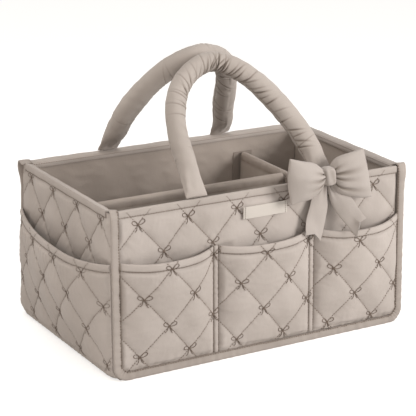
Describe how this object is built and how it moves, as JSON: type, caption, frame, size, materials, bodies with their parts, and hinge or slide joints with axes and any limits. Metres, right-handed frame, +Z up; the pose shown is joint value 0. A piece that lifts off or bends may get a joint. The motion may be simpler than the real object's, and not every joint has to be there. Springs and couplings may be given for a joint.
{
  "type": "diaper caddy",
  "caption": "Quilted fabric nursery caddy with outside pockets, two padded handles leaning together, a bow and removable dividers.",
  "frame": {"origin": "on the floor under the middle of the base", "axes": "+X to the right along the length, +Y from the bow side to the rear, +Z up"},
  "size_m": [0.4078, 0.2588, 0.3106],
  "materials": {
    "quilted_fabric": "soft brushed microfibre, diamond quilted",
    "plain_fabric": "soft brushed microfibre",
    "lining": "plain weave lining",
    "label": "woven satin",
    "board": "stiff sheet",
    "padding": "fibre stuffing",
    "hook_tape": "hook and loop tape"
  },
  "bodies": {
    "shell": {"base_cover": "plain_fabric", "base_board": "board", "base_lining": "lining", "front_cover": "quilted_fabric", "front_board": "board", "front_lining": "lining", "front_pockets": "quilted_fabric", "front_binding": "plain_fabric", "front_rim": "quilted_fabric", "front_left_handle_tab": "plain_fabric", "front_right_handle_tab": "plain_fabric", "front_loop_strip": "hook_tape", "label": "label", "rear_cover": "quilted_fabric", "rear_board": "board", "rear_lining": "lining", "rear_pockets": "quilted_fabric", "rear_binding": "plain_fabric", "rear_rim": "quilted_fabric", "rear_left_handle_tab": "plain_fabric", "rear_right_handle_tab": "plain_fabric", "rear_loop_strip": "hook_tape", "left_cover": "quilted_fabric", "left_board": "board", "left_lining": "lining", "left_pocket": "quilted_fabric", "left_rim": "quilted_fabric", "left_loop_strip": "hook_tape", "right_cover": "quilted_fabric", "right_board": "board", "right_lining": "lining", "right_pocket": "quilted_fabric", "right_rim": "quilted_fabric", "bow_knot": "plain_fabric", "bow_left_loop": "plain_fabric", "bow_right_loop": "plain_fabric", "bow_left_tail": "plain_fabric", "bow_right_tail": "plain_fabric"},
    "front_handle": {"front_handle_cover": "plain_fabric", "front_handle_core": "padding"},
    "rear_handle": {"rear_handle_cover": "plain_fabric", "rear_handle_core": "padding"},
    "cross_divider": {"cross_divider_sleeve": "lining", "cross_divider_board": "board", "cross_divider_front_hook_strip": "hook_tape", "cross_divider_rear_hook_strip": "hook_tape", "cross_divider_loop_strip": "hook_tape"},
    "long_divider": {"long_divider_sleeve": "lining", "long_divider_board": "board", "long_divider_left_hook_strip": "hook_tape", "long_divider_right_hook_strip": "hook_tape"}
  },
  "joints": [
    {"name": "front_handle_fold", "type": "hinge", "parent": "shell", "child": "front_handle", "pos_m": [0, -0.09915, 0.1838], "axis": [1, 0, 0], "range_deg": [0, 40]},
    {"name": "rear_handle_fold", "type": "hinge", "parent": "shell", "child": "rear_handle", "pos_m": [0, 0.09915, 0.1838], "axis": [-1, 0, 0], "range_deg": [0, 110]},
    {"name": "cross_divider_lift", "type": "slide", "parent": "shell", "child": "cross_divider", "axis": [0, 0, 1], "range_m": [0, 0.175]},
    {"name": "long_divider_lift", "type": "slide", "parent": "shell", "child": "long_divider", "axis": [0, 0, 1], "range_m": [0, 0.125]}
  ]
}
